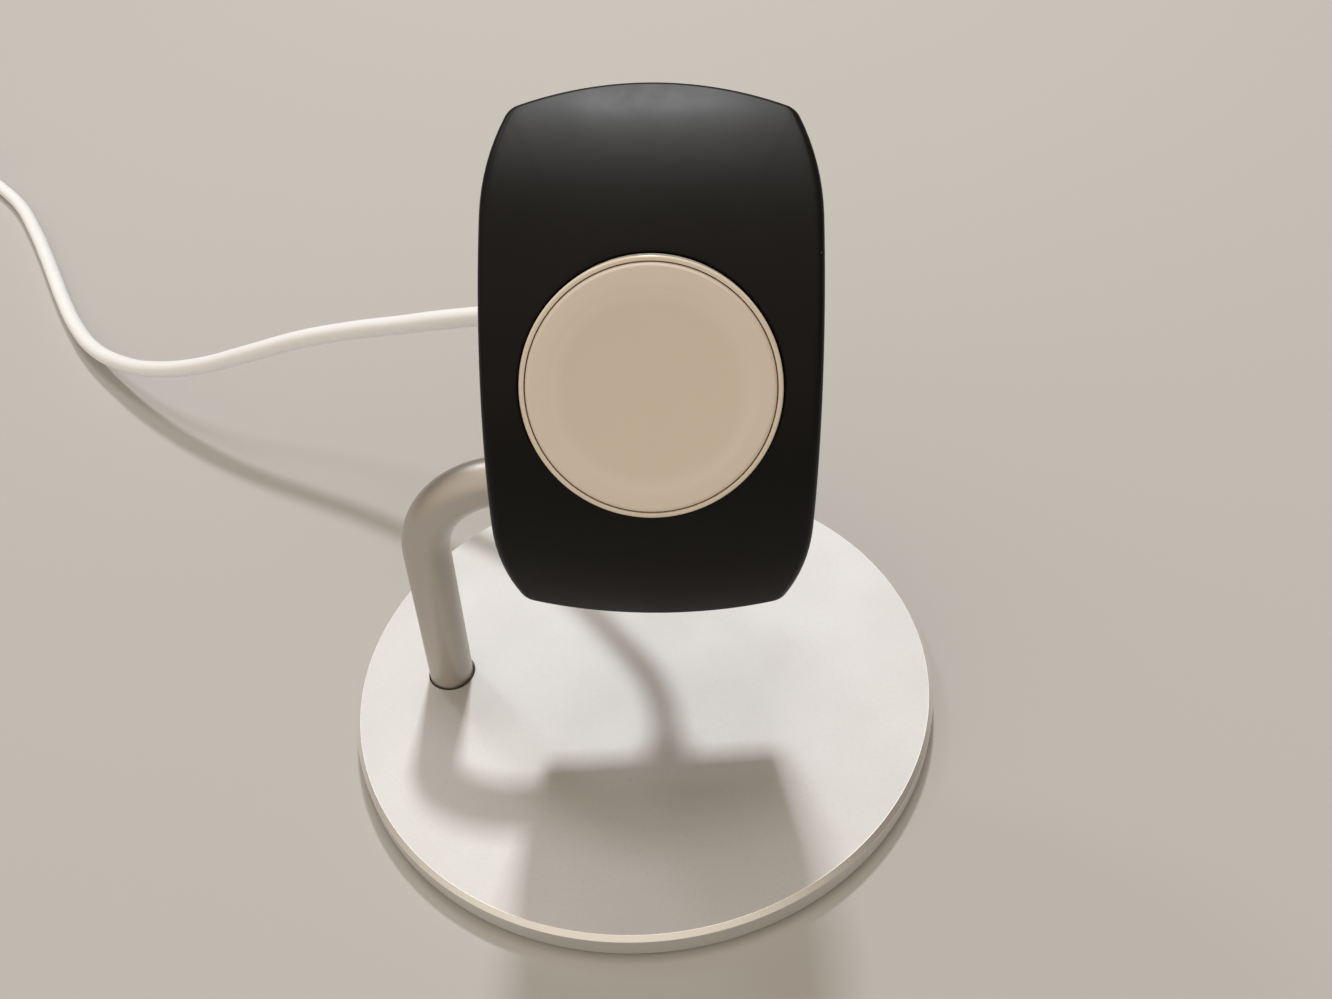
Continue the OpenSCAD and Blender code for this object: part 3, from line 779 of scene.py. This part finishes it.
def shell_row(sample):
    """One slice of the shell: bore, lip, front, rounded edge, side wall, back rim and inside."""
    bore_r = PUCK_R + 0.2
    pocket_r = SEAT_R + SEAT_WALL + 0.1
    edge_round, bore_round, back_round = 1.1, 0.25, 0.5
    front_steps, wall_steps = 18, 4
    way = Vector((sample[2].x, sample[2].y, 0))
    # Outer round: a ball of edge_round rolls between the front and the side wall
    p = outline_point(sample, edge_round)
    ball = Vector((p.x, p.y, front_height(p.y, edge_round)))
    front_way = Vector((0, ball.y, ball.z - FRONT_AXIS_Z)).normalized()
    outer = list(turned_arc(ball, front_way, way, edge_round, 7))
    # Bore round: the same between the front and the bore
    spoke = Vector((outer[0].x, outer[0].y, 0)).normalized()
    b = spoke * (bore_r + bore_round)
    bead = Vector((b.x, b.y, front_height(b.y, bore_round)))
    bead_way = Vector((0, bead.y, bead.z - FRONT_AXIS_Z)).normalized()
    lip = list(turned_arc(bead, -spoke, bead_way, bore_round, 4))
    row = [spoke * bore_r + Vector((0, 0, SEAT_TOP + 0.1)), *lip]
    for k in range(1, front_steps):
        flat = lip[-1].lerp(outer[0], k / front_steps)
        row.append(Vector((flat.x, flat.y, front_height(flat.y))))
    row += outer
    rim = outer[-1]
    foot = at_back(sample, back_round, back_round)
    row += list(down_wall(sample, 0, rim.z, foot.z, wall_steps))
    back_way = Vector((0, foot.y - BACK_Y, foot.z - BACK_Z - BACK_R)).normalized()
    row += list(turned_arc(foot, way, back_way, back_round, 5))
    row += [at_back(sample, REBATE), at_back(sample, REBATE, COVER_H)]
    row.append(at_back(sample, SHELL_WALL, COVER_H))
    inside = outline_point(sample, SHELL_WALL)
    ceiling, ledge = front_height(inside.y, SHELL_WALL), row[-1].z
    row += reversed(list(down_wall(sample, SHELL_WALL, ceiling, ledge, 2)))
    row.append(Vector((inside.x, inside.y, ceiling)))
    start = spoke * pocket_r
    for k in range(1, 9):
        flat = Vector((inside.x, inside.y, 0)).lerp(start, k / 8)
        row.append(Vector((flat.x, flat.y, front_height(flat.y, SHELL_WALL))))
    row.append(Vector((start.x, start.y, SEAT_TOP + 0.1)))
    return row


def head_shell():
    """Curved shell: a bore for the puck, a front like a wrist, rounded edges, side wall and back rim."""
    rows = [shell_row(sample) for sample in OUTLINE]
    count = len(rows[0])
    faces = ring_faces(len(rows), count, True)
    mesh = mesh_of("head_shell_finished", [p for row in rows for p in row], faces)
    piece = outward(finished(mesh, "head_shell", HEAD, "stand", "head_soft_touch"))
    hole_r = ARM_R + 0.65
    hole = lathe_mesh("arm_hole", [(0, -1), (hole_r, -1), (hole_r, 6), (0, 6)], 72)
    side = HEAD @ Matrix.Translation(Vector((-HEAD_W / 2, arm_axis.y, arm_axis.z)) * MM)
    carve(piece, [placed(hole, side @ Matrix.Rotation(pi / 2, 4, "Y"))])
    return weighted(piece, 40)


def at_cover_screws(lift):
    """Places of the cover's four screws, each lifted by so much from the cover's outer face."""
    for x in (-COVER_SCREW_X, COVER_SCREW_X):
        for y in (SEAT_DROP - COVER_SCREW_Y, SEAT_DROP + COVER_SCREW_Y):
            yield HEAD @ Matrix.Translation(Vector((x, y, back_height(y) + lift)) * MM)


def cover_row(sample):
    """One slice of the back cover: outer face, rounded edge, rim and inner face."""
    round_r, inset = 0.35, REBATE + 0.1
    reaches = (0.9, 0.75, 0.6, 0.45, 0.3, 0.15)
    low = at_back(sample, inset + round_r, round_r)
    back_way = Vector((0, low.y - BACK_Y, low.z - BACK_Z - BACK_R)).normalized()
    arc_points = list(turned_arc(low, back_way, Vector((sample[2].x, sample[2].y, 0)), round_r, 4))
    outside = [Vector((low.x * k, low.y * k, back_height(low.y * k))) for k in reversed(reaches)]
    high = at_back(sample, inset, COVER_H)
    inside = [Vector((high.x * k, high.y * k, back_height(high.y * k, COVER_H))) for k in reaches]
    return [*outside, *arc_points, high, *inside]


def back_cover():
    """Slightly curved plate that closes the head, with holes for the lead and four screws."""
    rows = [cover_row(sample) for sample in OUTLINE]
    count, total = len(rows[0]), len(rows)
    faces = [f for f in ring_faces(total, count, True) if {f[0] % count, f[1] % count} != {0, count - 1}]
    points = [p for row in rows for p in row]
    for column, z in ((0, back_height(0)), (count - 1, back_height(0, COVER_H))):
        points.append(Vector((0, 0, z)))
        faces += [(count * k + column, count * ((k + 1) % total) + column, len(points) - 1)
                  for k in range(total)]
    mesh = mesh_of("back_cover_finished", points, faces)
    piece = outward(finished(mesh, "back_cover", HEAD, "stand", "head_soft_touch"))
    port = lathe_mesh("port", [(0, -1), (3.0, -1), (3.0, 3), (0, 3)], 64)
    cutters = [placed(port, HEAD @ Matrix.Translation(Vector((0, 0, BACK_Z)) * MM))]
    for place in at_cover_screws(0.5):
        sink = lathe_mesh("sink", [(0, -3), (2.3, -3), (2.3, 0), (1.2, 1.2), (1.2, 3), (0, 3)], 40)
        cutters.append(placed(sink, place))
    return weighted(carve(piece, cutters), 40)


head_shell()
back_cover()


# ---------------------------------------------------------------- charger
def dish_height(r):
    """The dish is a little fuller than a ball's cap, so that its edge shows."""
    return -DISH_DEPTH * (1 - (r / DISH_R) ** 2) ** 0.72


def charger_case():
    """Cup of the puck, with a rounded back edge and a narrow rim round the cap."""
    rim = PUCK_R - RIM_W
    profile = rounded([
        (1.65, -PUCK_H, 0), (PUCK_R - 1.4, -PUCK_H, 0.2), (PUCK_R, -PUCK_H + 1.4, 1.6),
        (PUCK_R, -0.2, 0.28), (rim, -0.2, 0.06), (rim, -1.9, 0.0), (rim - 0.6, -1.9, 0.0),
        (rim - 0.6, -7.4, 0.3), (1.65, -7.4, 0)
    ], 6)
    turned_piece("charger_case", profile, 224, HEAD, "charger", "charger_white")


def charger_cap():
    """Face of the puck: a shallow dish, a flat ring round it and a rounded edge."""
    cap_r = PUCK_R - RIM_W - CAP_GAP
    edge = 0.5
    dish_radii = [DISH_R * sin(pi / 2 * k / 20) for k in range(20)]
    profile = [(r, dish_height(r)) for r in dish_radii]
    profile += [(DISH_R, 0.0), (DISH_R + 0.6, 0.0)]
    profile += [(cap_r - edge + edge * sin(a), -edge + edge * cos(a))
                for a in (pi / 2 * k / 8 for k in range(9))]
    profile += [(cap_r, -1.7), (0, -1.7)]
    turned_piece("charger_cap", profile, 224, HEAD, "charger", "charger_cap_white", closed=False)


def charger_boot():
    """Strain relief where the lead leaves the back of the puck."""
    profile = rounded([
        (1.64, -PUCK_H, 0), (2.6, -PUCK_H, 0.1), (2.6, -PUCK_H - 1.2, 0.3), (2.1, -16, 0.2), (1.64, -16, 0)
    ], 4)
    turned_piece("charger_boot", profile, 64, HEAD, "charger", "lead_white")


def cable_grommet():
    """Rubber grommet that holds the lead in the back cover."""
    z = BACK_Z
    profile = rounded([
        (1.66, z + 3.0, 0), (4, z + 3.0, 0.15), (4, z + 2.2, 0.1), (2.9, z + 2.2, 0.05), (2.9, z, 0.05),
        (4.2, z, 0.1), (4.2, z - 0.7, 0.3), (3.1, z - 1.0, 0.4), (2.4, z - 3.4, 0.3), (1.66, z - 3.4, 0.1)
    ], 5)
    turned_piece("cable_grommet", profile, 72, HEAD, "stand", "pad_rubber")


charger_case()
charger_cap()
charger_boot()
cable_grommet()


# ---------------------------------------------------------------- smaller pieces
def refined(name, bevel_mm, segments=3, cutters=()):
    """A finer copy of a CAD node: flat faces joined, edges rounded, small recesses cut."""
    node = nodes[name]
    part = next(p for p in frame["record"]["subparts"] if p["node"] == name)
    body = next(b for b, members in frame["record"]["behaviour"]["bodies"].items() if name in members)
    mesh = node.data.copy()
    mesh.transform(node.matrix_world)
    mesh.transform(Matrix.Scale(1 / MM, 4))
    bm = bmesh.new()
    bm.from_mesh(mesh)
    bmesh.ops.remove_doubles(bm, verts=bm.verts, dist=0.001)
    bmesh.ops.dissolve_limit(bm, angle_limit=radians(1), verts=bm.verts, edges=bm.edges)
    bm.to_mesh(mesh)
    bm.free()
    mesh.materials.clear()
    slot = part["material_slot"]
    piece = finished(mesh, name, STAND, body, slot)
    if cutters:
        carve(piece, cutters)
    modifier = piece.modifiers.new("edges", "BEVEL")
    modifier.width = bevel_mm * MM
    modifier.segments = segments
    modifier.limit_method = "ANGLE"
    modifier.angle_limit = radians(35)
    modifier.use_clamp_overlap = True
    flat = piece.modifiers.new("flat_faces", "WEIGHTED_NORMAL")
    flat.weight = 60
    return piece


def box_mesh(name, size):
    """A box of three side lengths, about its own middle."""
    bm = bmesh.new()
    bmesh.ops.create_cube(bm, size=1.0)
    bmesh.ops.scale(bm, vec=Vector(size), verts=bm.verts)
    mesh = bpy.data.meshes.new(name)
    bm.to_mesh(mesh)
    bm.free()
    return mesh


def crossed_recesses():
    """Cutters for the cross recesses of the cover's screws."""
    for place in at_cover_screws(0.55):
        for turned in (0.4, 0.4 + pi / 2):
            yield placed(box_mesh("blade", (2.1, 0.42, 0.9)), place @ Matrix.Rotation(turned, 4, "Z"))


def plug_boot():
    """Strain relief of the plug: a tapered sleeve with grooves round it."""
    profile = [(1.45, 11.0), (2.05, 11.0), (2.1, 10.7)]
    for k in range(5):
        z = 9.6 - 1.5 * k
        r = 2.9 - 0.8 * z / 11
        profile += [(r, z + 0.35), (r - 0.35, z + 0.15), (r - 0.35, z - 0.35), (r, z - 0.55)]
    profile += [(2.88, 0.4), (2.85, 0.0), (0, 0.0), (0, 9.0), (1.45, 9.0)]
    place = Matrix.Translation(Vector(PLUG) * MM) @ Matrix.Rotation(-pi / 2, 4, "X")
    return turned_piece("plug_boot", profile, 72, place, "stand", "lead_white", sharp=45)


carried = [
    refined("coil_tie", 0.18), plug_boot(), refined("plug_body", 0.55, 5), refined("plug_shell", 0.12),
    refined("plug_tongue", 0.15), refined("plug_contacts", 0.04, 2)
]
refined("foot_pad", 0.2)
refined("cover_screws", 0.06, 2, list(crossed_recesses()))
refined("head_bracket", 0.2)
refined("charger_board", 0.12, 2)
refined("clamp_screws", 0.12, 2)
refined("bracket_screws", 0.15, 2)


# ---------------------------------------------------------------- studio
def floor():
    """Plain pale paper under the stand."""
    bm = bmesh.new()
    bmesh.ops.create_grid(bm, x_segments=1, y_segments=1, size=3.0)
    mesh = bpy.data.meshes.new("floor")
    bm.to_mesh(mesh)
    bm.free()
    f = Finish("floor_paper", (0.50, 0.49, 0.475), 0.75, Specular_IOR_Level=0.3)
    f.bump(f.noise(1.5, detail=3.0), 0.03, 0.2)
    mesh.materials.append(f.material)
    piece = bpy.data.objects.new("floor", mesh)
    bpy.context.scene.collection.objects.link(piece)


def softbox(name, way, distance, size, power, color):
    """A square area light that shines on the stand from a direction."""
    data = bpy.data.lights.new(name, "AREA")
    data.size = size
    data.energy = power
    data.color = color
    light = bpy.data.objects.new(name, data)
    middle = Vector((0, 0, 0.03))
    light.location = middle + Vector(way).normalized() * distance
    light.rotation_euler = (light.location - middle).to_track_quat("Z", "Y").to_euler()
    bpy.context.scene.collection.objects.link(light)


def soft_dome(way_up, low, high, dim, bright):
    """World light that brightens towards one direction, like a room with a white ceiling and a window."""
    world = bpy.data.worlds.new("studio")
    world.use_nodes = True
    tree = world.node_tree
    way = tree.nodes.new("ShaderNodeTexCoord")
    rising = tree.nodes.new("ShaderNodeVectorMath")
    rising.operation = "DOT_PRODUCT"
    rising.inputs[1].default_value = Vector(way_up).normalized()
    rise = tree.nodes.new("ShaderNodeMapRange")
    rise.interpolation_type = "SMOOTHSTEP"
    rise.inputs["From Min"].default_value = low
    rise.inputs["From Max"].default_value = high
    shade = tree.nodes.new("ShaderNodeMix")
    shade.data_type = "RGBA"
    shade.inputs["A"].default_value = (*dim, 1)
    shade.inputs["B"].default_value = (*bright, 1)
    tree.links.new(way.outputs["Generated"], rising.inputs[0])
    tree.links.new(rising.outputs["Value"], rise.inputs["Value"])
    tree.links.new(rise.outputs["Result"], shade.inputs["Factor"])
    tree.links.new(shade.outputs["Result"], tree.nodes["Background"].inputs["Color"])
    bpy.context.scene.world = world


floor()
softbox("key", (0.02, 0.625, 1.0), 1.2, 0.10, 6.3, (0.97, 0.985, 1.0))
softbox("second", (-0.62, 0.75, 1.0), 1.2, 0.16, 1.0, (0.93, 0.97, 1.0))
softbox("overhead", (0.03, 0.2, 1.0), 1.1, 0.26, 1.5, (1.0, 0.98, 0.95))
soft_dome((-0.25, -0.55, 0.75), 0.0, 1.0, (0.17, 0.135, 0.10), (0.85, 0.745, 0.62))
bpy.context.scene.view_settings.view_transform = "Standard"
